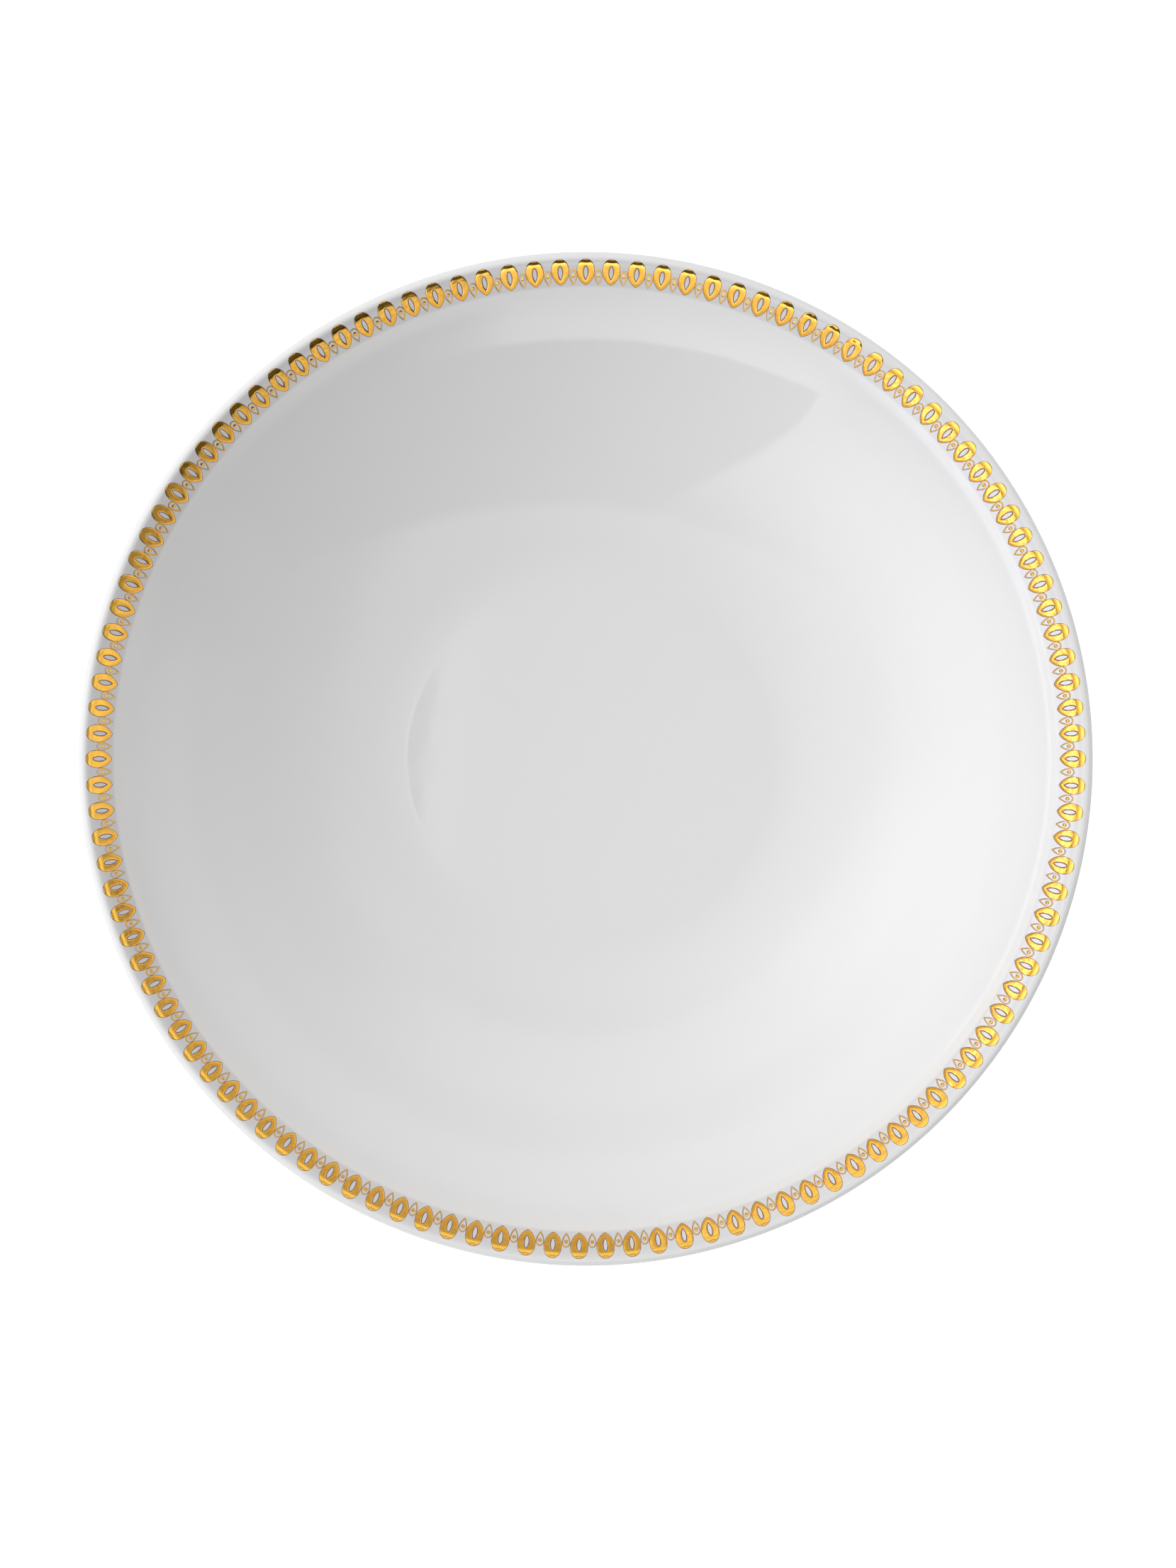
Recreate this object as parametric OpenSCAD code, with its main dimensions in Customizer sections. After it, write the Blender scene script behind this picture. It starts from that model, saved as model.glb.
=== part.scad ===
// Porcelain serving bowl with a gold egg-and-arch border.
// A thin shell on a low foot ring: a flat floor, a wall that steepens up to the
// rim, a full round lip, and a band of gold rings, arches and dots just inside it.

/* [Bowl] */
// Outside diameter over the lip
bowl_d = 270; // [240:1:290]
// Height from the foot face to the top of the lip
bowl_h = 56; // [52:1:62]
// Thickness of the wall at the lip, which is a full round
lip_t = 3.2; // [2.6:0.1:4]
// Thickness of the floor
floor_t = 5; // [4:0.1:6]
// Diameter of the flat floor inside
floor_d = 100; // [90:1:106]
// Radius of the curve that lifts the floor into the wall
blend_r = 42; // [30:1:50]
// Slope at the end of that curve, in degrees
blend_slope = 13.5; // [12:0.5:15]
// Slope of the straight stretch below the lip, in degrees
rim_slope = 47; // [45:0.5:50]
// Slope where the inside of the lip begins, in degrees
lip_slope = 40; // [36:1:43]
// Radius of the soft shoulder between that straight stretch and the lip
shoulder_r = 12; // [6:1:14]

/* [Foot] */
// Outside diameter of the foot ring at its root
foot_d = 116; // [110:1:122]
// Width of the foot ring at its root
foot_w = 5.6; // [5:0.1:7]
// Height of the foot ring
foot_h = 3.5; // [3:0.1:5]
// How far each side of the foot leans in, in degrees
foot_lean = 8; // [4:1:10]
// Radius on the two edges of the foot face
foot_round = 0.9; // [0.6:0.1:1]
// Height of the bare ground band at the foot face
bare_h = 1.2; // [1.1:0.1:1.5]

/* [Glaze] */
// Thickness of the glaze
glaze_t = 0.3; // [0.2:0.05:0.4]

/* [Gold border] */
// How many eggs the first half of the border holds
first_half = 60; // [50:1:60]
// How many eggs the second half holds
second_half = 58; // [50:1:60]
// How far the eggs of the second half are eased back from even spacing, in degrees
easing = 0.78; // [0:0.02:0.9]
// Thickness of the gold
gold_t = 0.12; // [0.08:0.02:0.2]
// Distance in from the outside of the lip to the widest place of an egg
egg_in = 4.85; // [4.7:0.05:5]
// Width of an egg
egg_w = 4.76; // [4.5:0.02:4.9]
// Length of an egg from its widest place to its point
egg_tip = 3.48; // [3.3:0.02:3.6]
// Length of an egg from its widest place to its round end
egg_end = 2.84; // [2.7:0.02:3]
// Width of the opening in an egg
slit_w = 1.55; // [1.4:0.05:1.8]
// Distance from the outside of the lip to the widest place of the opening
slit_in = 5.28; // [5.2:0.02:5.4]
// Length of the opening from its widest place to its point
slit_tip = 2.01; // [1.9:0.01:2.1]
// Length of the opening from its widest place to its round end
slit_end = 1.65; // [1.5:0.05:1.7]
// Width of an arch over its line
arch_w = 2.14; // [2:0.01:2.16]
// Distance from the outside of the lip to the widest place of an arch
arch_in = 5.55; // [5.45:0.01:5.65]
// Length of an arch from its widest place to its point
arch_tip = 2.69; // [2.6:0.01:2.75]
// Length of an arch from its widest place to its round end
arch_end = 0.89; // [0.85:0.01:0.95]
// Width of the line that draws an arch
arch_line = 0.3; // [0.26:0.02:0.34]
// Distance from the outside of the lip to the middle of a dot
dot_in = 6.06; // [6:0.02:6.1]
// Diameter of a dot
dot_d = 1; // [0.8:0.05:1.1]

/* [Hidden] */
$fn = 96;
porcelain = [0.93, 0.93, 0.94];
biscuit = [0.88, 0.86, 0.82];
glaze = [0.96, 0.97, 0.98];
gold = [0.88, 0.68, 0.30];
bowl_r = bowl_d / 2;
floor_r = floor_d / 2;
foot_r = foot_d / 2;
eggs = first_half + second_half;
// How tall the cutters of the gold border are, down from above the lip
border_deep = 12;
lip = [bowl_r - lip_t / 2, bowl_h - lip_t / 2];

// A point on an arc, by its centre, its radius and the slope of the arc there
function on_arc(centre, r, slope) = centre + r * [sin(slope), -cos(slope)];

// Points along an arc between two slopes, without the first point
function arc(centre, r, from, to, steps) =
    [for (i = [1 : steps]) on_arc(centre, r, from + (to - from) * i / steps)];

function backwards(points) = [for (i = [len(points) - 1 : -1 : 0]) points[i]];

// How far out from the origin, square to the rim slope, a point lies
function reach(point) = point * [sin(rim_slope), -cos(rim_slope)];

// Radius of the wall arc that leaves the blend curve smoothly and runs out
// tangent to a line at the rim slope, that lies at the given reach
function wall_r(blend_c, blend, line) =
    let (turn = cos(rim_slope - blend_slope))
    (line - reach(blend_c) - blend * turn) / (1 - turn);

// Centre of the wall arc, in line with the end of the blend curve
function wall_c(blend_c, blend, wall) =
    on_arc(blend_c, blend - wall, blend_slope);

// The inside surface, with a soft shoulder at the lip. On the shoulder and on
// the inside of the lip the surface bends the other way, so its radius is negative.
shoulder_c = on_arc(lip, shoulder_r - lip_t / 2, lip_slope);
in_blend_c = [floor_r, foot_h + floor_t + blend_r];
in_wall_r = wall_r(in_blend_c, blend_r, reach(shoulder_c) - shoulder_r);
in_wall_c = wall_c(in_blend_c, blend_r, in_wall_r);

// The outside surface, where the wall thins from the floor to the lip
out_blend_r = blend_r - 2;
out_blend_c = [floor_r, foot_h + out_blend_r];
out_wall_r = wall_r(out_blend_c, out_blend_r, reach(lip) + lip_t / 2);
out_wall_c = wall_c(out_blend_c, out_blend_r, out_wall_r);

// One surface from the axis out to the straight stretch below the lip
function wall_line(blend_c, blend, wall_centre, wall) = concat(
    [[0, blend_c.y - blend], [blend_c.x, blend_c.y - blend]],
    arc(blend_c, blend, 0, blend_slope, 4),
    arc(wall_centre, wall, blend_slope, rim_slope, 14)
);

// The inside and the outside, each moved into the wall by depth
function inside(depth) =
    wall_line(in_blend_c, blend_r + depth, in_wall_c, in_wall_r + depth);
function outside(depth) =
    wall_line(out_blend_c, out_blend_r - depth, out_wall_c, out_wall_r - depth);

// The two sides of the lip, each moved into the wall by depth. Each starts
// where it leaves the straight stretch of the wall, and ends at the crest.
function inner_lip(depth) = concat(
    [on_arc(shoulder_c, depth - shoulder_r, rim_slope)],
    arc(shoulder_c, depth - shoulder_r, rim_slope, lip_slope, 2),
    arc(lip, depth - lip_t / 2, lip_slope, 0, 4)
);
function outer_lip(depth) = concat(
    [on_arc(lip, lip_t / 2 - depth, rim_slope)],
    arc(lip, lip_t / 2 - depth, rim_slope, 180, 10)
);

// Section of everything above the outside surface
module mass(depth) {
    polygon(concat(outside(depth), outer_lip(depth), [[0, bowl_h]]));
}

// Section of the foot ring down to its face, with its sides moved in by depth
module foot_section(depth) {
    edge = foot_round - depth;
    side = 90 - foot_lean;
    run = (foot_h - foot_round) * tan(foot_lean) + foot_round / cos(foot_lean);
    outer = [foot_r - run, foot_round];
    inner = [foot_r - foot_w + run, foot_round];
    climb = 2 * foot_h * [tan(foot_lean), 1];
    polygon(concat(
        [on_arc(inner, edge, -side) + [-climb.x, climb.y], on_arc(inner, edge, -side)],
        arc(inner, edge, -side, 0, 5),
        [on_arc(outer, edge, 0)],
        arc(outer, edge, 0, side, 5),
        [on_arc(outer, edge, side) + climb]
    ));
}

// The part of a section that lies above a height
module above(z) {
    intersection() {
        children();
        translate([0, z]) square([bowl_r, bowl_h]);
    }
}

// Section of the glaze on the outside, the foot and the recess below the floor
module outside_glaze() {
    difference() {
        union() {
            polygon(concat(
                outside(0),
                outer_lip(0),
                backwards(outer_lip(glaze_t)),
                backwards(outside(glaze_t))
            ));
            above(bare_h) foot_section(0);
        }
        foot_section(glaze_t);
        mass(glaze_t);
    }
}

// An almond: round at its far end, pointed at its near end, widest at the origin
module almond(w, tip, end, inset = 0) {
    r = (w * w / 4 + tip * tip) / w;
    c = r - w / 2;
    end_r = (r * r - c * c - end * end) / (2 * (r - end));
    join = (end - end_r) * r / (r - end_r);
    union() {
        translate([end - end_r, 0]) circle(end_r - inset);
        intersection() {
            translate([0, c]) circle(r - inset);
            translate([0, -c]) circle(r - inset);
            translate([join - 2 * r, -r]) square(2 * r);
        }
    }
}

// Where an egg sits around the border, in degrees
function egg_angle(i) =
    let (u = (i - first_half) / second_half)
    u < 0 ? 180 * i / first_half : 180 + 180 * u - easing * sin(180 * u);

// Copies of a motif around the border, one on each egg or one in each gap
module on_eggs() {
    for (i = [0 : eggs - 1]) rotate(egg_angle(i)) children();
}
module between_eggs() {
    for (i = [0 : eggs - 1]) rotate((egg_angle(i) + egg_angle(i + 1)) / 2) children();
}

// Gold leaf over a flat drawing: it lies on the inside of the rim and runs
// over the start of the lip, and its two sides rest on the round of the bowl
module leaf() {
    rest = bowl_r - sqrt(bowl_r * bowl_r - egg_w * egg_w / 4);
    film = concat(
        [on_arc(in_wall_c, in_wall_r, rim_slope)],
        inner_lip(0),
        backwards(inner_lip(-gold_t)),
        [on_arc(in_wall_c, in_wall_r - gold_t, rim_slope)]
    );
    intersection() {
        translate([-rest, 0, 0]) rotate([90, 0, 0])
            linear_extrude(2 * egg_w, center = true) polygon(film);
        translate([0, 0, bowl_h - border_deep])
            linear_extrude(border_deep + foot_h) children();
    }
}

// Shell of biscuit porcelain under the glaze
module porcelain_body() {
    color(porcelain) rotate_extrude() polygon(concat(
        inside(glaze_t),
        inner_lip(glaze_t),
        backwards(outer_lip(glaze_t)),
        backwards(outside(glaze_t))
    ));
}

// Foot ring under the floor, with the bare ground band at its face
module foot_ring() {
    color(biscuit) rotate_extrude() difference() {
        foot_section(0);
        above(bare_h) difference() {
            foot_section(-1);
            foot_section(glaze_t);
        }
        mass(glaze_t);
    }
}

// Glaze over the inside, up to the crest of the lip
module inner_glaze() {
    color(glaze) rotate_extrude() polygon(concat(
        inside(0),
        inner_lip(0),
        backwards(inner_lip(glaze_t)),
        backwards(inside(glaze_t))
    ));
}

// Glaze over the outside, from the crest of the lip down the foot
module outer_glaze() {
    color(glaze) rotate_extrude() intersection() {
        outside_glaze();
        translate([foot_r - foot_w / 2, 0]) square([bowl_r, bowl_h]);
    }
}

// Glaze in the recess inside the foot ring
module base_glaze() {
    color(glaze) rotate_extrude() intersection() {
        outside_glaze();
        square([foot_r - foot_w / 2, bowl_h / 3]);
    }
}

// Egg-shaped gold rings around the rim
module gold_eggs() {
    color(gold) on_eggs() leaf() difference() {
        translate([bowl_r - egg_in, 0]) almond(egg_w, egg_tip, egg_end);
        translate([bowl_r - slit_in, 0]) almond(slit_w, slit_tip, slit_end);
    }
}

// Thin pointed arches between the eggs
module gold_arches() {
    color(gold) between_eggs() leaf() translate([bowl_r - arch_in, 0]) difference() {
        almond(arch_w, arch_tip, arch_end);
        almond(arch_w, arch_tip, arch_end, arch_line);
    }
}

// A gold dot inside each arch
module gold_dots() {
    color(gold) between_eggs() leaf()
        translate([bowl_r - dot_in, 0]) circle(d = dot_d);
}

porcelain_body();
foot_ring();
inner_glaze();
outer_glaze();
base_glaze();
gold_eggs();
gold_arches();
gold_dots();
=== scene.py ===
"""Porcelain serving bowl with a gold border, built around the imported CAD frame.

The CAD nodes are polygons revolved in coarse steps, so each one is replaced by a smooth
piece on the same section. Lengths are in metres, slopes and directions in degrees.
"""
import math

import bmesh
import bpy
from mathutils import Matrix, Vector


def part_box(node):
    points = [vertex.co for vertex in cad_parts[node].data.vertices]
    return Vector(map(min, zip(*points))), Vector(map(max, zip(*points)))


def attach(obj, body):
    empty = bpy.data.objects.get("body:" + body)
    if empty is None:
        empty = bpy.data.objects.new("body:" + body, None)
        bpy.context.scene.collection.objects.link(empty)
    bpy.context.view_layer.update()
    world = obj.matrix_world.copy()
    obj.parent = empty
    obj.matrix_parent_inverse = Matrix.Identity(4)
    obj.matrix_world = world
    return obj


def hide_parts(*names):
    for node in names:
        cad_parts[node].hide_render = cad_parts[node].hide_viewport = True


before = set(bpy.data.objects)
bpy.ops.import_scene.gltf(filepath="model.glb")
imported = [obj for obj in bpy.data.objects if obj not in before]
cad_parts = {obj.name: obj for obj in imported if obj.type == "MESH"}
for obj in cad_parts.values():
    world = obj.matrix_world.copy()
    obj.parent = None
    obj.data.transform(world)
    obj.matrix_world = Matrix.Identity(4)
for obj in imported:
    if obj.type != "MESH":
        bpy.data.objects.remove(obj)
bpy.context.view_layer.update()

MM = 0.001

# The bowl's section, as in the CAD model. The overall sizes come from the frame.
GLAZE_T = 0.3 * MM          # thickness of the glaze
BOWL_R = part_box("outer_glaze")[1].x
BOWL_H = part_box("outer_glaze")[1].z
FOOT_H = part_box("porcelain_body")[0].z - GLAZE_T
FLOOR_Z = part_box("inner_glaze")[0].z + GLAZE_T
LIP_T = 3.2 * MM            # thickness of the lip
LIP_SLOPE = 40              # slope where the inside of the lip begins
SHOULDER_R = 12 * MM        # soft shoulder between the wall and the lip
RIM_SLOPE = 47              # slope of the straight stretch below the lip
BLEND_R = 42 * MM           # curve that lifts the floor into the wall, inside
OUT_BLEND_R = 40 * MM       # the same curve outside
BLEND_SLOPE = 13.5          # slope where that curve ends
FLOOR_R = 50 * MM           # radius of the flat floor
FOOT_R = 58 * MM            # radius of the foot ring at its root
FOOT_W = 5.6 * MM           # width of the foot ring at its root
FOOT_LEAN = 8               # how far the foot's sides lean in
FOOT_ROUND = 0.9 * MM       # radius on the edges of the foot face
BARE_H = 1.2 * MM           # height of the bare ground band

# The gold border: "at" and "in" are measured in from the outside of the lip. The spacing, the
# openings and the dots are those of the CAD model. The eggs and arches are slightly larger, because
# their brown edge runs out past the gold.
FIRST_HALF = 60             # how many eggs the first half of the border holds
SECOND_HALF = 58
EASING = 0.78               # how far the second half's eggs are eased back, in degrees
EGG = {"at": 4.85 * MM, "w": 4.84 * MM, "tip": 3.54 * MM, "end": 2.90 * MM}
SLIT = {"at": 5.28 * MM, "w": 1.55 * MM, "tip": 2.01 * MM, "end": 1.65 * MM}
ARCH = {"at": 5.55 * MM, "w": 2.34 * MM, "tip": 2.72 * MM, "end": 0.92 * MM}
ARCH_LINE = 0.36 * MM
DOT_IN = 6.06 * MM
DOT_R = 0.5 * MM
EGG_MIDDLE = EGG["at"] + 0.3 * MM       # where the gold of a motif stands highest
ARCH_MIDDLE = ARCH["at"] + 0.9 * MM

AROUND = 360                # faces around the bowl
BLEND_STEPS = 12            # steps along each stretch of the section
WALL_STEPS = 44
STRAIGHT_STEPS = 6
SHOULDER_STEPS = 6
LIP_STEPS = 14
OUT_LIP_STEPS = 40
FOOT_STEPS = 8
LINE_STEPS = 4
SEAM_STEP = 0.2             # last step of the lip's round, in degrees
SHARP = 30                  # edges sharper than this stay crisp, in degrees
SIDE_STEPS = 20             # points along each side of an almond
END_STEPS = 18              # points round its end
DOT_STEPS = 24              # points round a dot

# How the gold stands on the glaze: it is sunk a little into it, thins out to a brown fringe, and
# rises to a soft crown. A crown is (share of the way across, share of the height).
SUNK = -0.02 * MM
FRINGE_LIFT = 0.005 * MM
GOLD_EDGE = 0.014 * MM
EGG_FRINGE = 0.12 * MM
SLIT_FRINGE = 0.22 * MM
SLIT_IN = 0.27 * MM         # how far the fringe runs into the slit
LINE_FRINGE = 0.07 * MM
EGG_CROWN = 0.045 * MM
LINE_CROWN = 0.035 * MM
DOMING = 0.5                # share of its height that the gold loses towards an egg's ends
CROWN = [(0.02, 0.45), (0.06, 0.8), (0.14, 0.97), (0.5, 1.0),
         (0.86, 0.97), (0.94, 0.8), (0.98, 0.45)]
DOME = [(0.15, 0.55), (0.4, 0.85), (0.75, 1.0)]
HAZE_IN = (8.7 * MM, 1.9 * MM)      # the band where firing the gold has hazed the glaze
HAZE_SOFT = 0.9 * MM
POOL_R = 1.2 * MM           # glaze pooled in the corner at the root of the foot

PORCELAIN_WHITE = (0.818, 0.815, 0.815, 1)
PORCELAIN_COOL = (0.804, 0.805, 0.812, 1)
GLAZE_POOL = (0.770, 0.774, 0.780, 1)
GOLD_HAZE = (0.700, 0.688, 0.690, 1)
SPECK = (0.30, 0.26, 0.22, 1)
GOLD_TONE = (0.98, 0.565, 0.10, 1)
GOLD_DEEP = (0.86, 0.44, 0.075, 1)
FRINGE_TONE = (0.23, 0.15, 0.17, 1)
FRINGE_DEEP = (0.12, 0.08, 0.11, 1)
BISQUE = (0.80, 0.79, 0.77, 1)
BISQUE_DARK = (0.72, 0.70, 0.67, 1)
BARE_FOOT = (0.78, 0.75, 0.70, 1)
BARE_DARK = (0.56, 0.50, 0.43, 1)
FLOOR_TONE = (0.8, 0.8, 0.8, 1)

# Roughness between its smoothest and its dullest places
GLAZE_ROUGH = (0.015, 0.04)
BISQUE_ROUGH = (0.62, 0.85)
GOLD_ROUGH = (0.05, 0.16)
FRINGE_ROUGH = (0.18, 0.35)
FLOOR_ROUGH = 0.9

# The size of what marks a surface, and its depth where it stands up
CLOUD = 24 * MM
SPECK_GAP = 9 * MM
NO_SPECK = 0.93             # share of those gaps without a speck
WAVE = (18 * MM, 0.012 * MM)
PEEL = (1.6 * MM, 0.0006 * MM)
GROUND_RING = (0.12 * MM, 0.012 * MM)
GRIT_DEPTH = 0.02 * MM
BISQUE_GRAIN = 0.5 * MM
BARE_GRAIN = 0.25 * MM
STAIN = 5 * MM
STAIN_H = 0.25 * MM         # height up to which the foot is most stained
WEAR = 2.5 * MM
RIPPLE = (1.4 * MM, 0.004 * MM)
GOLD_GRAIN = (0.12 * MM, 0.0006 * MM)

# The camera looks straight down
CAMERA_H = 1.30             # its height above the lip
FRAME_H = 0.417             # height of the picture at the lip
CAMERA_X = 0.0006
CAMERA_Y = -0.0067
CLIP_END = 20

# The studio, by direction: the light of the room, soft panels by their middle and size in degrees,
# a black flag that stops all of that over part of the front, a cool strip low on the left, and a
# ceiling box by its reach across a unit height, with a slit beside the camera. A panel with a
# strength below 0 is a dark card.
ROOM = 0.33
BACKDROP = 0.95             # what the camera sees in place of the studio
FLOOR_GLOW = 0.65           # how brightly the camera sees the floor glow
FLOOR_LIGHT = 0.12          # and how brightly the bowl does
FLOOR_DROP = 0.02 * MM      # how far the floor lies below the foot face
FLOOR_SIZE = 8              # its radius
FLOOR_SIDES = 96
PANELS = [
    # a low band round all but the front right, the main light from the left, and more over them
    {"azimuth": 137, "elevation": 13, "width": 305, "height": 14, "soft": 20, "rise": 8, "strength": 0.70},
    {"azimuth": 195, "elevation": 33, "width": 120, "height": 30, "soft": 60, "rise": 20, "strength": 1.43},
    {"azimuth": 137, "elevation": 26, "width": 305, "height": 16, "soft": 8, "rise": 8, "strength": 0.26},
    {"azimuth": 110, "elevation": 42, "width": 120, "height": 18, "soft": 30, "rise": 8, "strength": 0.67},
    # at the horizon, which the gold reflects
    {"azimuth": 355, "elevation": 0, "width": 30, "height": 9, "soft": 14, "rise": 7, "strength": 0.75},
    {"azimuth": 62, "elevation": 0, "width": 72, "height": 9, "soft": 14, "rise": 7, "strength": 0.18},
    {"azimuth": 122, "elevation": 0, "width": 48, "height": 9, "soft": 10, "rise": 7, "strength": 0.85},
    {"azimuth": 275, "elevation": 0, "width": 80, "height": 7, "soft": 30, "rise": 2, "strength": 0.60},
    # low in front, a light and a dark card
    {"azimuth": 259, "elevation": 9, "width": 46, "height": 12, "soft": 10, "rise": 3, "strength": 0.80},
    {"azimuth": 303, "elevation": 10, "width": 42, "height": 12, "soft": 6, "rise": 3, "strength": -0.31},
]
STRIP = {"azimuth": 188, "elevation": 0, "width": 90, "height": 4.6, "soft": 20, "rise": 2, "strength": 2.4}
STRIP_TONE = (1.05, 1.10, 1.45)
FRONT_EDGE = -0.65          # where the flag ends and the ceiling box begins
FRONT_SKEW = 0.13           # how far that edge turns
FRONT_SOFT = 0.02           # how softly the flag ends there
FLAG = {"left": 237, "right": 325, "low": 15, "bow": 0.10, "lean": 35, "soft": 2}
FLAG_GLOW = 0.10            # what light comes off the flag
CEILING = {"left": -0.75, "right": 0.62, "back": 0.60, "soft": 0.10, "fade": 0.40, "strength": 0.76}
SLIT_EDGE = 0.0330          # the slit's sides, by how far left of straight up they are
SLIT_FAR = 0.045
SLIT_SOFT = 0.0006          # how softly those sides end
SLIT_GLARE = 0.018          # where the glare beside it ends
SLIT_GAIN = 0.6             # how much light the glare adds
SLIT_END = 0.06             # how far the slit runs each way
SLIT_FADE = 0.03            # how softly it ends there
SLIT_SKEW = -0.106          # how far the slit turns
ABOVE = 0.05                # the least height of a direction that meets the ceiling
TINY = 0.01                 # keeps a division safe


# ---------------------------------------------------------------- section

def on_arc(centre, r, slope):
    """The point of an arc where the arc has that slope."""
    a = math.radians(slope)
    return (centre[0] + r * math.sin(a), centre[1] - r * math.cos(a))


def between_points(one, two, share):
    """The point part of the way from one point to another."""
    return tuple(a + (b - a) * share for a, b in zip(one, two))


def arc(centre, r, start, end, steps):
    """Points along an arc between two slopes, without the first."""
    return [on_arc(centre, r, start + (end - start) * i / steps) for i in range(1, steps + 1)]


def reach(point):
    """How far out from the origin a point lies, square to the rim slope."""
    a = math.radians(RIM_SLOPE)
    return point[0] * math.sin(a) - point[1] * math.cos(a)


def wall_arc(blend_c, blend, line):
    """(centre, radius) of the wall arc from the blend curve to the straight stretch at the lip."""
    turn = math.cos(math.radians(RIM_SLOPE - BLEND_SLOPE))
    r = (line - reach(blend_c) - blend * turn) / (1 - turn)
    return on_arc(blend_c, blend - r, BLEND_SLOPE), r


LIP = (BOWL_R - LIP_T / 2, BOWL_H - LIP_T / 2)
SHOULDER = on_arc(LIP, SHOULDER_R - LIP_T / 2, LIP_SLOPE)
IN_BLEND = (FLOOR_R, FLOOR_Z + BLEND_R)
OUT_BLEND = (FLOOR_R, FOOT_H + OUT_BLEND_R)
IN_WALL, IN_WALL_R = wall_arc(IN_BLEND, BLEND_R, reach(SHOULDER) - SHOULDER_R)
OUT_WALL, OUT_WALL_R = wall_arc(OUT_BLEND, OUT_BLEND_R, reach(LIP) + LIP_T / 2)


def wall_line(blend_c, blend, wall_c, wall_r, upto):
    """One surface from the axis to the straight stretch, which it follows to the point upto. Extra
    points on the floor keep it flat where it is shaded."""
    z = blend_c[1] - blend
    turn = on_arc(wall_c, wall_r, RIM_SLOPE)
    straight = [between_points(turn, upto, i / STRAIGHT_STEPS) for i in range(1, STRAIGHT_STEPS)]
    return ([(0, z), (FLOOR_R * 0.5, z), (FLOOR_R * 0.97, z), (FLOOR_R, z)]
            + arc(blend_c, blend, 0, BLEND_SLOPE, BLEND_STEPS)
            + arc(wall_c, wall_r, BLEND_SLOPE, RIM_SLOPE, WALL_STEPS) + straight)


def inner_lip(depth):
    """The inside of the lip moved into the wall by depth, from the straight stretch to the crest.
    Its last step is tiny, so that the two glazes shade alike where they meet."""
    return ([on_arc(SHOULDER, depth - SHOULDER_R, RIM_SLOPE)]
            + arc(SHOULDER, depth - SHOULDER_R, RIM_SLOPE, LIP_SLOPE, SHOULDER_STEPS)
            + arc(LIP, depth - LIP_T / 2, LIP_SLOPE, SEAM_STEP, LIP_STEPS)
            + [on_arc(LIP, depth - LIP_T / 2, 0)])


def outer_lip(depth):
    """The outside of the lip moved into the wall by depth, from the straight stretch to the crest."""
    return ([on_arc(LIP, LIP_T / 2 - depth, RIM_SLOPE)]
            + arc(LIP, LIP_T / 2 - depth, RIM_SLOPE, 180 - SEAM_STEP, OUT_LIP_STEPS)
            + [on_arc(LIP, LIP_T / 2 - depth, 180)])


def inside(depth):
    """The inside surface moved into the wall by depth, from the axis to the crest of the lip."""
    lip = inner_lip(depth)
    return wall_line(IN_BLEND, BLEND_R + depth, IN_WALL, IN_WALL_R + depth, lip[0]) + lip


def outside(depth):
    """The outside surface moved into the wall by depth, from the axis to the crest of the lip."""
    lip = outer_lip(depth)
    return wall_line(OUT_BLEND, OUT_BLEND_R - depth, OUT_WALL, OUT_WALL_R - depth, lip[0]) + lip


def outside_z(r):
    """Height of the outside surface at a radius near the foot."""
    return OUT_BLEND[1] - math.sqrt(OUT_BLEND_R ** 2 - max(0, r - FLOOR_R) ** 2)


def foot_edge(sign):
    """Centre of the round edge between the foot's face and a side. sign is 1 outside, -1 inside."""
    lean = math.radians(FOOT_LEAN)
    run = (FOOT_H - FOOT_ROUND) * math.tan(lean) + FOOT_ROUND / math.cos(lean)
    root = FOOT_R if sign > 0 else FOOT_R - FOOT_W
    return (root - sign * run, FOOT_ROUND)


def foot_side(depth, sign, z):
    """The point at height z on a side of the foot that is moved in by depth."""
    low = on_arc(foot_edge(sign), FOOT_ROUND - depth, sign * (90 - FOOT_LEAN))
    return (low[0] + sign * (z - low[1]) * math.tan(math.radians(FOOT_LEAN)), z)


def foot_root(depth, sign):
    """Where a side of the foot meets the outside surface, both moved in by depth. It closes in on
    the point in a few steps."""
    z = FOOT_H
    for _ in range(6):
        z = outside_z(foot_side(depth, sign, z)[0]) + depth
    return foot_side(depth, sign, z)


def glazed_foot(sign):
    """The glaze on a side of the foot: a pool that rounds the corner at its root, the side down to
    the rounded glaze line, and back up the inside of the layer."""
    corner = foot_root(0, sign)
    start_r = corner[0] + sign * POOL_R
    start = (start_r, outside_z(start_r))
    end = foot_side(0, sign, corner[1] - POOL_R)
    pool = [between_points(between_points(start, corner, share), between_points(corner, end, share), share)
            for share in (i / FOOT_STEPS for i in range(FOOT_STEPS + 1))]
    line = [foot_side(GLAZE_T * (1 - math.cos(a)) / 2, sign, BARE_H + GLAZE_T * (1 - math.sin(a)) / 2)
            for a in (math.pi / 2 * i / LINE_STEPS for i in range(LINE_STEPS + 1))]
    return pool + line + [foot_side(GLAZE_T, sign, BARE_H), foot_root(GLAZE_T, sign)]


def outer_glaze_outline():
    """From the crest of the lip down the outside and the foot, and back inside the layer."""
    surface = [p for p in outside(0) if p[0] > foot_root(0, 1)[0] + POOL_R]
    under = [p for p in outside(GLAZE_T) if p[0] > foot_root(GLAZE_T, 1)[0]]
    return surface[::-1] + glazed_foot(1) + under


def base_glaze_outline():
    """From the axis across the recess, down the inner side of the foot and back."""
    surface = [p for p in outside(0) if p[0] < foot_root(0, -1)[0] - POOL_R]
    under = [p for p in outside(GLAZE_T) if p[0] < foot_root(GLAZE_T, -1)[0]]
    return surface + glazed_foot(-1) + under[::-1]


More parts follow.
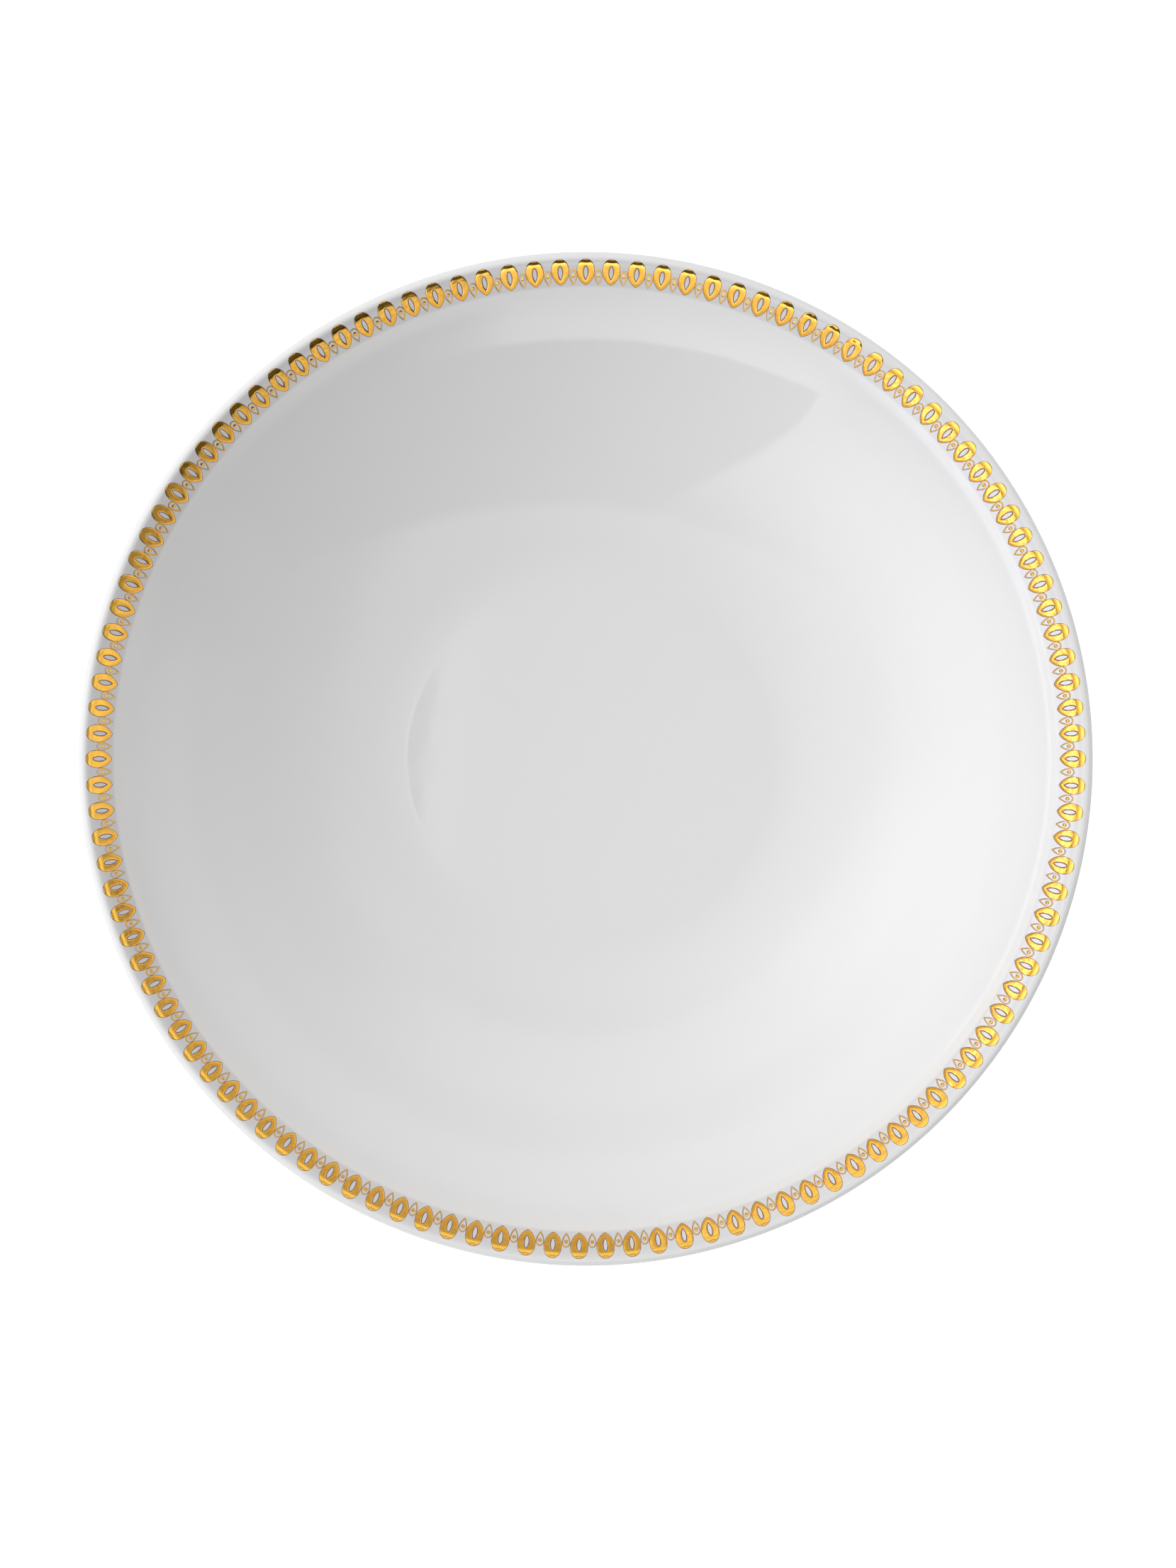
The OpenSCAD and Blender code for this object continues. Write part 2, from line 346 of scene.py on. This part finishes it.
def foot_outline():
    """The foot ring under its glaze, with the bare band and the ground face at full size."""
    sides = []
    for sign in (1, -1):
        edge = foot_edge(sign)
        turn = sign * (90 - FOOT_LEAN)
        side = [foot_root(GLAZE_T, sign), foot_side(GLAZE_T, sign, BARE_H), foot_side(0, sign, BARE_H)]
        side += [on_arc(edge, FOOT_ROUND, turn * (1 - i / FOOT_STEPS)) for i in range(FOOT_STEPS + 1)]
        sides.append(side)
    top = [(r, outside_z(r) + GLAZE_T)
           for r in (FOOT_R - FOOT_W * (0.25 + 0.25 * i) for i in range(3))]
    return sides[0] + sides[1][::-1] + top[::-1]


def inside_at(r):
    """(height, slope) of the inside surface at a radius on the border or the lip."""
    straight = on_arc(SHOULDER, -SHOULDER_R, RIM_SLOPE)
    if r < straight[0]:
        return straight[1] - (straight[0] - r) * math.tan(math.radians(RIM_SLOPE)), RIM_SLOPE
    centre, radius = SHOULDER, SHOULDER_R
    if r > on_arc(SHOULDER, -SHOULDER_R, LIP_SLOPE)[0]:
        centre, radius = LIP, LIP_T / 2
    sine = (centre[0] - r) / radius
    return centre[1] + radius * math.sqrt(1 - sine * sine), math.degrees(math.asin(sine))


# ---------------------------------------------------------------- meshes

def piece(name, verts, faces, materials, node, edges=()):
    """A closed, smoothly shaded piece of the bowl that stands for a CAD node. The faces numbered
    in edges take the second material."""
    mesh = bpy.data.meshes.new(name)
    mesh.from_pydata(verts, [], faces)
    for i in edges:
        mesh.polygons[i].material_index = 1
    for material in materials:
        mesh.materials.append(material)
    work = bmesh.new()
    work.from_mesh(mesh)
    bmesh.ops.recalc_face_normals(work, faces=work.faces)
    work.to_mesh(mesh)
    work.free()
    mesh.polygons.foreach_set("use_smooth", [True] * len(mesh.polygons))
    mesh.set_sharp_from_angle(angle=math.radians(SHARP))
    made = bpy.data.objects.new(name, mesh)
    bpy.context.collection.objects.link(made)
    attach(made, "root")
    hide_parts(node)
    return made


def revolved(name, outline, material, node):
    """A piece turned round the Z axis from a closed outline of (radius, height) points. Points on
    the axis stay single."""
    verts = []
    rings = []
    for r, z in outline:
        turns = range(AROUND) if r > 0 else [0]
        rings.append([len(verts) + (i if r > 0 else 0) for i in range(AROUND)])
        verts += [(r * math.cos(math.tau * i / AROUND), r * math.sin(math.tau * i / AROUND), z)
                  for i in turns]
    faces = []
    for one, two in zip(rings, rings[1:] + rings[:1]):
        for i in range(AROUND):
            corners = dict.fromkeys((one[i - 1], one[i], two[i], two[i - 1]))
            if len(corners) > 2:
                faces.append(tuple(corners))
    return piece(name, verts, faces, [material], node)


# ---------------------------------------------------------------- gold border

def almond(size, inset=0.0):
    """Outline of an almond as (outwards, sideways) points: pointed inwards, round outwards and
    widest at its middle. It starts at the point, and inset moves all of it in."""
    w, tip, end = size["w"], size["tip"], size["end"]
    r = (w * w / 4 + tip * tip) / w
    c = r - w / 2
    end_r = (r * r - c * c - end * end) / (2 * (r - end))
    join = math.atan2(c, end - end_r)
    point = math.pi - math.asin(c / (r - inset))
    side = [((r - inset) * math.cos(a), (r - inset) * math.sin(a) - c)
            for a in (point + (join - point) * i / SIDE_STEPS for i in range(SIDE_STEPS))]
    end_line = [(end - end_r + (end_r - inset) * math.cos(a), (end_r - inset) * math.sin(a))
                for a in (join * (1 - 2 * i / END_STEPS) for i in range(END_STEPS + 1))]
    back = [(x, -y) for x, y in side[:0:-1]]
    return [(x + BOWL_R - size["at"], y) for x, y in side + end_line + back]


def disc(inset=0.0):
    """Outline of a dot, in the same terms."""
    r = DOT_R - inset
    return [(BOWL_R - DOT_IN - r * math.cos(a), r * math.sin(a))
            for a in (math.tau * i / DOT_STEPS for i in range(DOT_STEPS))]


def on_rim(point, lift):
    """A point of the flat drawing laid on the inside of the rim, lifted off it."""
    flat = math.hypot(*point)
    z, slope = inside_at(flat)
    share = 1 - lift * math.sin(math.radians(slope)) / flat
    return point[0] * share, point[1] * share, z + lift * math.cos(math.radians(slope))


def ring_loops(outer, inner, fringes, height):
    """Loops of a ring of gold between two outlines: out of the glaze at its outer edge, over a
    soft crown, and down into the glaze at its inner edge. Fringes are the widths at the two edges."""
    one, two = fringes
    over = [([between_points(a, b, share) for a, b in zip(outer(one), inner(two))], height * crown)
            for share, crown in CROWN]
    rise = [(outer(0), SUNK), (outer(0), FRINGE_LIFT), (outer(one), GOLD_EDGE)]
    fall = [(inner(two), GOLD_EDGE), (inner(0), FRINGE_LIFT), (inner(0), SUNK)]
    return rise + over + fall


def dot_loops(fringe, height):
    """Loops of a domed dot of gold, from its sunk edge to the middle of its top."""
    rise = [(disc(), SUNK), (disc(), FRINGE_LIFT), (disc(fringe), GOLD_EDGE)]
    return rise + [(disc(fringe + (DOT_R - fringe) * share), height * crown) for share, crown in DOME]


def doming(point, middle):
    """How much of its height the gold has at a point: all of it at the middle of the motif, and
    less towards its two ends."""
    return 1 - DOMING * ((point[0] - BOWL_R + middle) / EGG["tip"]) ** 2


def motif(loops, is_ring, middle):
    """(verts, faces, edges) of one motif from its loops of (outline, lift). The last loop of a
    ring joins its first; otherwise both ends are filled. Edges are the numbers of the faces where
    the gold thins out on the glaze."""
    verts = [on_rim(p, lift * doming(p, middle) if lift > GOLD_EDGE else lift)
             for outline, lift in loops for p in outline]
    count = len(loops[0][0])
    faces = []
    edges = []
    for k in range(len(loops) if is_ring else len(loops) - 1):
        one, two = k * count, (k + 1) % len(loops) * count
        thin = max(loops[k][1], loops[(k + 1) % len(loops)][1]) <= GOLD_EDGE
        for i in range(count):
            j = (i + 1) % count
            if thin:
                edges.append(len(faces))
            faces.append((one + i, one + j, two + j, two + i))
    if not is_ring:
        faces.append(tuple(range(count)))
        faces.append(tuple(range(len(verts) - count, len(verts))))
    return verts, faces, edges


def egg_angle(i):
    """Where an egg sits around the border, in degrees."""
    u = (i - FIRST_HALF) / SECOND_HALF
    if u < 0:
        return 180 * i / FIRST_HALF
    return 180 + 180 * u - EASING * math.sin(math.pi * u)


def border(name, made, angles, node):
    """A gold piece: copies of one motif around the rim."""
    verts = []
    faces = []
    edges = []
    for angle in angles:
        c, s = math.cos(math.radians(angle)), math.sin(math.radians(angle))
        edges += [len(faces) + i for i in made[2]]
        faces += [tuple(len(verts) + v for v in face) for face in made[1]]
        verts += [(c * x - s * y, s * x + c * y, z) for x, y, z in made[0]]
    return piece(name, verts, faces, [gold_material(), fringe_material()], node, edges)


def gold_border():
    """The eggs, and an arch and a dot in each gap between two of them."""
    eggs = [egg_angle(i) for i in range(FIRST_HALF + SECOND_HALF + 1)]
    gaps = [(a + b) / 2 for a, b in zip(eggs, eggs[1:])]
    egg = ring_loops(lambda inset: almond(EGG, inset), lambda inset: almond(SLIT, SLIT_IN - inset),
                     (EGG_FRINGE, SLIT_FRINGE), EGG_CROWN)
    arch = ring_loops(lambda inset: almond(ARCH, inset), lambda inset: almond(ARCH, ARCH_LINE - inset),
                      (LINE_FRINGE, LINE_FRINGE), LINE_CROWN)
    dot = dot_loops(LINE_FRINGE, LINE_CROWN)
    border("border_eggs", motif(egg, True, EGG_MIDDLE), eggs[:-1], "gold_eggs")
    border("border_arches", motif(arch, True, ARCH_MIDDLE), gaps, "gold_arches")
    border("border_dots", motif(dot, False, DOT_IN), gaps, "gold_dots")


# ---------------------------------------------------------------- materials

class Graph:
    """Short ways to add nodes to a material or the world."""

    def __init__(self, owner):
        owner.use_nodes = True
        self.tree = owner.node_tree
        self.tree.nodes.clear()

    def add(self, kind, values=None, **settings):
        """A node of a kind, with settings as its properties and values for its inputs by name or
        number. A value that is a socket is linked."""
        made = self.tree.nodes.new("ShaderNode" + kind)
        for key, value in settings.items():
            setattr(made, key, value)
        for key, value in (values or {}).items():
            if isinstance(value, bpy.types.NodeSocket):
                self.tree.links.new(value, made.inputs[key])
            else:
                made.inputs[key].default_value = value
        return made

    def math(self, operation, *values):
        """The result of a sum on numbers or sockets."""
        return self.add("Math", dict(enumerate(values)), operation=operation).outputs[0]

    def place(self):
        """Position on the object, in metres."""
        return self.add("TexCoord").outputs["Object"]

    def noise(self, size, detail=2.0, roughness=0.5, vector=None):
        """Soft noise around 0.5, with blotches of about that size in metres."""
        values = {"Vector": vector or self.place(), "Scale": 1 / size, "Detail": detail,
                  "Roughness": roughness}
        return self.add("TexNoise", values).outputs["Fac"]

    def ramp(self, value, low, high, to_low=0.0, to_high=1.0):
        """A value carried from one range to another, smoothly and within its ends."""
        values = {"Value": value, "From Min": low, "From Max": high, "To Min": to_low, "To Max": to_high}
        return self.add("MapRange", values, interpolation_type="SMOOTHSTEP").outputs["Result"]

    def mix(self, share, one, two):
        """A colour between two colours."""
        return self.add("Mix", {0: share, 6: one, 7: two}, data_type="RGBA").outputs[2]

    def bump(self, height, depth, normal=None):
        """A normal from a height of 0 to 1, where 1 stands depth metres up."""
        values = {"Height": height, "Distance": depth, "Strength": 1.0}
        if normal:
            values["Normal"] = normal
        return self.add("Bump", values).outputs["Normal"]

    def shader(self, kind, values):
        """Ends the graph in its shader."""
        made = self.add(kind, values)
        world = kind == "Background"
        end = self.add("OutputWorld" if world else "OutputMaterial")
        self.tree.links.new(made.outputs[0], end.inputs["Surface"])
        return made


def glaze_material(name, seed, pool_low, pool_high, haze=None):
    """Clear glaze on white porcelain: a mirror-smooth coat with the faintest waves, a little
    bluer where it pools between two heights, with a few fine specks fired in. Haze is the two
    heights between which the gold's firing has left it faintly mauve."""
    material = bpy.data.materials.new(name)
    g = Graph(material)
    place = g.add("Mapping", {"Vector": g.place(), "Location": (seed, 0, 0)}).outputs[0]
    height = g.add("SeparateXYZ", {0: g.place()}).outputs["Z"]
    pool = g.ramp(height, pool_low, pool_high, 1, 0)
    cloud = g.ramp(g.noise(CLOUD, 3, vector=place), 0.35, 0.65)
    tone = g.mix(g.math("MULTIPLY", cloud, 0.5), PORCELAIN_WHITE, PORCELAIN_COOL)
    tone = g.mix(g.math("MULTIPLY", pool, 0.7), tone, GLAZE_POOL)
    if haze:
        tone = g.mix(inside_range(g, height, *haze, HAZE_SOFT), tone, GOLD_HAZE)
    speck = g.add("TexVoronoi", {"Vector": place, "Scale": 1 / SPECK_GAP})
    rare = g.math("GREATER_THAN", g.add("SeparateXYZ", {0: speck.outputs["Color"]}).outputs["X"], NO_SPECK)
    dark = g.math("MULTIPLY", g.ramp(speck.outputs["Distance"], 0.008, 0.02, 0.35, 0), rare)
    tone = g.mix(dark, tone, SPECK)
    rough = g.ramp(g.noise(8 * MM, 4, vector=place), 0.3, 0.7, *GLAZE_ROUGH)
    wave = g.bump(g.noise(WAVE[0], 1, vector=place), WAVE[1])
    peel = g.bump(g.noise(PEEL[0], 2, vector=place), PEEL[1], wave)
    g.shader("BsdfPrincipled", {"Base Color": tone, "Roughness": rough, "Normal": peel, "IOR": 1.5})
    return material


def bisque_material(name, tone, dark, grain):
    """Bare fired porcelain: matt and fine-grained, ground smooth in faint rings at the foot face,
    and a little stained where grit has caught."""
    material = bpy.data.materials.new(name)
    g = Graph(material)
    split = g.add("SeparateXYZ", {0: g.place()})
    across = g.math("SQRT", g.math("ADD", g.math("POWER", split.outputs["X"], 2.0),
                                   g.math("POWER", split.outputs["Y"], 2.0)))
    ring = g.noise(GROUND_RING[0], 2, vector=g.add("CombineXYZ", {0: across}).outputs[0])
    fine = g.noise(grain, 4, 0.7)
    stain = g.ramp(g.noise(STAIN, 5, 0.65), 0.52, 0.75)
    low = g.ramp(split.outputs["Z"], 0, STAIN_H, 0.55, 0.1)
    tone = g.mix(g.math("MULTIPLY", stain, low), tone, dark)
    tone = g.mix(g.ramp(fine, 0.3, 0.7, 0.0, 0.25), tone, dark)
    rough = g.ramp(fine, 0.3, 0.7, *BISQUE_ROUGH)
    ground = g.bump(ring, GROUND_RING[1])
    grit = g.bump(fine, GRIT_DEPTH, ground)
    g.shader("BsdfPrincipled", {"Base Color": tone, "Roughness": rough, "Normal": grit})
    return material


def gold_material():
    """Burnished gold leaf fired on the glaze: bright, with soft ripples left by the burnisher and
    duller patches where it has been handled."""
    material = bpy.data.materials.new("gold")
    g = Graph(material)
    worn = g.ramp(g.noise(WEAR, 4, 0.6), 0.4, 0.75)
    tone = g.mix(g.math("MULTIPLY", worn, 0.5), GOLD_TONE, GOLD_DEEP)
    rough = g.ramp(g.noise(1.1 * MM, 3), 0.3, 0.75, *GOLD_ROUGH)
    ripple = g.bump(g.noise(RIPPLE[0], 1), RIPPLE[1])
    grain = g.bump(g.noise(GOLD_GRAIN[0], 2), GOLD_GRAIN[1], ripple)
    g.shader("BsdfPrincipled", {"Base Color": tone, "Metallic": 1.0, "Roughness": rough, "Normal": grain})
    return material


def fringe_material():
    """The thin brown edge where the gold runs out over the glaze."""
    material = bpy.data.materials.new("gold_edge")
    g = Graph(material)
    tone = g.mix(g.noise(0.6 * MM, 2), FRINGE_TONE, FRINGE_DEEP)
    rough = g.ramp(g.noise(0.3 * MM, 2), 0.3, 0.7, *FRINGE_ROUGH)
    g.shader("BsdfPrincipled", {"Base Color": tone, "Metallic": 0.35, "Roughness": rough})
    return material


# ---------------------------------------------------------------- studio

def inside_range(g, value, low, high, soft):
    """1 where a value is between two ends, falling to 0 across soft at each end."""
    rise = g.ramp(value, low - soft / 2, low + soft / 2)
    fall = g.ramp(value, high - soft / 2, high + soft / 2, 1, 0)
    return g.math("MULTIPLY", rise, fall)


def panel(g, azimuth, elevation, width, height, soft, rise, strength):
    """Light from a soft-edged panel, by direction. Its sides fade over soft, its top and foot over
    rise."""
    turn = g.math("SUBTRACT", g.azimuth, math.radians(azimuth))
    across = g.math("WRAP", turn, math.pi, -math.pi)
    up = g.math("SUBTRACT", g.elevation, math.radians(elevation))
    masks = [inside_range(g, value, -math.radians(size) / 2, math.radians(size) / 2, math.radians(edge))
             for value, size, edge in ((across, width, soft), (up, height, rise))]
    return g.math("MULTIPLY", g.math("MULTIPLY", *masks), strength)


def passing(g, left, right, low, bow, lean, soft):
    """1 where light passes and 0 behind the flag, an upright card in front that reaches from a
    height up to the ceiling box. Its foot bows down to the sides, and its left side leans as it
    rises. Soft is in degrees."""
    above = g.math("MAXIMUM", g.math("SUBTRACT", g.elevation, math.radians(low)), 0.0)
    shift = g.math("MULTIPLY", g.math("MULTIPLY", above, above), math.radians(lean))
    turn = g.math("WRAP", g.math("SUBTRACT", g.azimuth, math.radians(left)), math.tau, 0.0)
    edge = math.radians(soft)
    across = inside_range(g, g.math("SUBTRACT", turn, shift), 0.0, math.radians(right - left), edge)
    height = g.math("DIVIDE", g.up, g.ahead)
    sideways = g.math("POWER", g.math("DIVIDE", g.aside, g.ahead), 2.0)
    bowed = g.math("ADD", height, g.math("MULTIPLY", sideways, bow))
    foot = math.tan(math.radians(low))
    up = g.ramp(bowed, foot - edge / 2, foot + edge / 2)
    front = g.ramp(g.along, FRONT_EDGE - FRONT_SOFT, FRONT_EDGE + FRONT_SOFT, 1, 0)
    return g.math("SUBTRACT", 1.0, g.math("MULTIPLY", g.math("MULTIPLY", across, up), front))


def ceiling(g, left, right, back, soft, fade, strength):
    """Light from the wide box over the bowl. Its front is crisp and the rest fades out."""
    front = g.ramp(g.along, FRONT_EDGE - soft / 2, FRONT_EDGE + soft / 2)
    rear = g.ramp(g.along, back - fade / 2, back + fade / 2, 1, 0)
    sides = inside_range(g, g.across, left, right, fade)
    box = g.math("MULTIPLY", sides, g.math("MULTIPLY", front, rear))
    return g.math("MULTIPLY", g.math("MULTIPLY", box, g.math("GREATER_THAN", g.up, ABOVE)), strength)


def slit(g):
    """How much of the light overhead is left beside the camera: none in a dark slit, and more than
    all of it along the edge of the slit that faces the camera."""
    aside = g.math("ADD", g.across, g.math("MULTIPLY", g.along, SLIT_SKEW))
    dark = inside_range(g, aside, -SLIT_FAR, -SLIT_EDGE, SLIT_SOFT)
    glare = g.math("MULTIPLY", g.ramp(aside, -SLIT_EDGE, -SLIT_GLARE, SLIT_GAIN, 0),
                   g.math("GREATER_THAN", aside, -SLIT_EDGE))
    near = g.math("MULTIPLY", inside_range(g, g.along, -SLIT_END, SLIT_END, SLIT_FADE),
                  g.math("GREATER_THAN", g.up, ABOVE))
    return g.math("ADD", 1.0, g.math("MULTIPLY", near, g.math("SUBTRACT", glare, dark)))


def directions(g):
    """Prepares a world's graph with the direction of the light that is asked for: its angles, how
    far it points ahead and aside, and how far it reaches across a ceiling at unit height."""
    x, y, g.up = g.add("SeparateXYZ", {0: g.add("TexCoord").outputs["Generated"]}).outputs
    g.elevation = g.math("ARCSINE", g.up)
    g.azimuth = g.math("ARCTAN2", y, x)
    g.ahead = g.math("MAXIMUM", g.math("MULTIPLY", y, -1.0), TINY)
    g.aside = g.math("ABSOLUTE", x)
    high = g.math("MAXIMUM", g.up, TINY)
    g.across = g.math("DIVIDE", x, high)
    g.along = g.math("ADD", g.math("DIVIDE", y, high), g.math("MULTIPLY", g.across, FRONT_SKEW))


def studio():
    """The studio round the bowl: soft panels in a dim room, a flag and a ceiling box, which the
    camera sees as a plain pale backdrop."""
    world = bpy.data.worlds.new("studio")
    bpy.context.scene.world = world
    g = Graph(world)
    directions(g)
    light = ROOM
    for made in PANELS:
        light = g.math("ADD", light, panel(g, **made))
    light = g.add("Mix", {0: passing(g, **FLAG), 2: FLAG_GLOW, 3: light}).outputs[0]
    light = g.math("MULTIPLY", g.math("ADD", light, ceiling(g, **CEILING)), slit(g))
    cool = g.add("VectorMath", {0: STRIP_TONE, 3: panel(g, **STRIP)}, operation="SCALE").outputs[0]
    both = g.add("VectorMath", {0: light, 1: cool}, operation="ADD").outputs[0]
    seen = g.add("LightPath").outputs["Is Camera Ray"]
    shown = g.mix(seen, both, (BACKDROP, BACKDROP, BACKDROP, 1))
    g.shader("Background", {"Color": shown, "Strength": 1.0})


def floor():
    """A plain pale floor that glows enough to look white round the bowl, without lighting it much
    from below. From underneath it is clear, so that the foot can be seen."""
    turns = [math.tau * i / FLOOR_SIDES for i in range(FLOOR_SIDES)]
    verts = [(FLOOR_SIZE * math.cos(a), FLOOR_SIZE * math.sin(a), -FLOOR_DROP) for a in turns]
    mesh = bpy.data.meshes.new("floor")
    mesh.from_pydata(verts, [], [tuple(range(FLOOR_SIDES))])
    material = bpy.data.materials.new("floor")
    g = Graph(material)
    seen = g.add("LightPath").outputs["Is Camera Ray"]
    glow = g.ramp(seen, 0, 1, FLOOR_LIGHT, FLOOR_GLOW)
    top = g.add("BsdfPrincipled", {"Base Color": FLOOR_TONE, "Roughness": FLOOR_ROUGH,
                                   "Emission Color": (1, 1, 1, 1), "Emission Strength": glow})
    below = g.add("NewGeometry").outputs["Backfacing"]
    g.shader("MixShader", {0: below, 1: top.outputs[0], 2: g.add("BsdfTransparent").outputs[0]})
    mesh.materials.append(material)
    made = bpy.data.objects.new("floor", mesh)
    bpy.context.collection.objects.link(made)


def camera():
    """The photograph looks straight down on the bowl."""
    data = bpy.data.cameras.new("camera")
    data.lens = data.sensor_width * CAMERA_H / FRAME_H
    made = bpy.data.objects.new("camera", data)
    made.location = (CAMERA_X, CAMERA_Y, BOWL_H + CAMERA_H)
    data.clip_end = CLIP_END
    bpy.context.collection.objects.link(made)
    bpy.context.scene.camera = made


def bowl():
    """The bowl's ceramic pieces, each on the section of its CAD node."""
    haze = [inside_at(BOWL_R - inwards)[0] for inwards in HAZE_IN]
    clear = glaze_material("glaze_inside", 0.0, FLOOR_Z - 1 * MM, FLOOR_Z + 6 * MM, haze)
    outer = glaze_material("glaze_outside", 0.7, FOOT_H - 1 * MM, FOOT_H + 2 * MM)
    recess = glaze_material("glaze_recess", 1.3, FOOT_H - 3 * MM, FOOT_H + 1 * MM)
    core = bisque_material("porcelain", BISQUE, BISQUE_DARK, BISQUE_GRAIN)
    ground = bisque_material("bare_foot", BARE_FOOT, BARE_DARK, BARE_GRAIN)
    inner = inside(0) + inside(GLAZE_T)[::-1]
    shell = inside(GLAZE_T) + outside(GLAZE_T)[::-1]
    revolved("bowl_wall", shell, core, "porcelain_body")
    revolved("foot", foot_outline(), ground, "foot_ring")
    revolved("glaze_inside", inner, clear, "inner_glaze")
    revolved("glaze_outside", outer_glaze_outline(), outer, "outer_glaze")
    revolved("glaze_base", base_glaze_outline(), recess, "base_glaze")


bowl()
gold_border()
floor()
studio()
camera()
bpy.context.scene.view_settings.view_transform = "Standard"
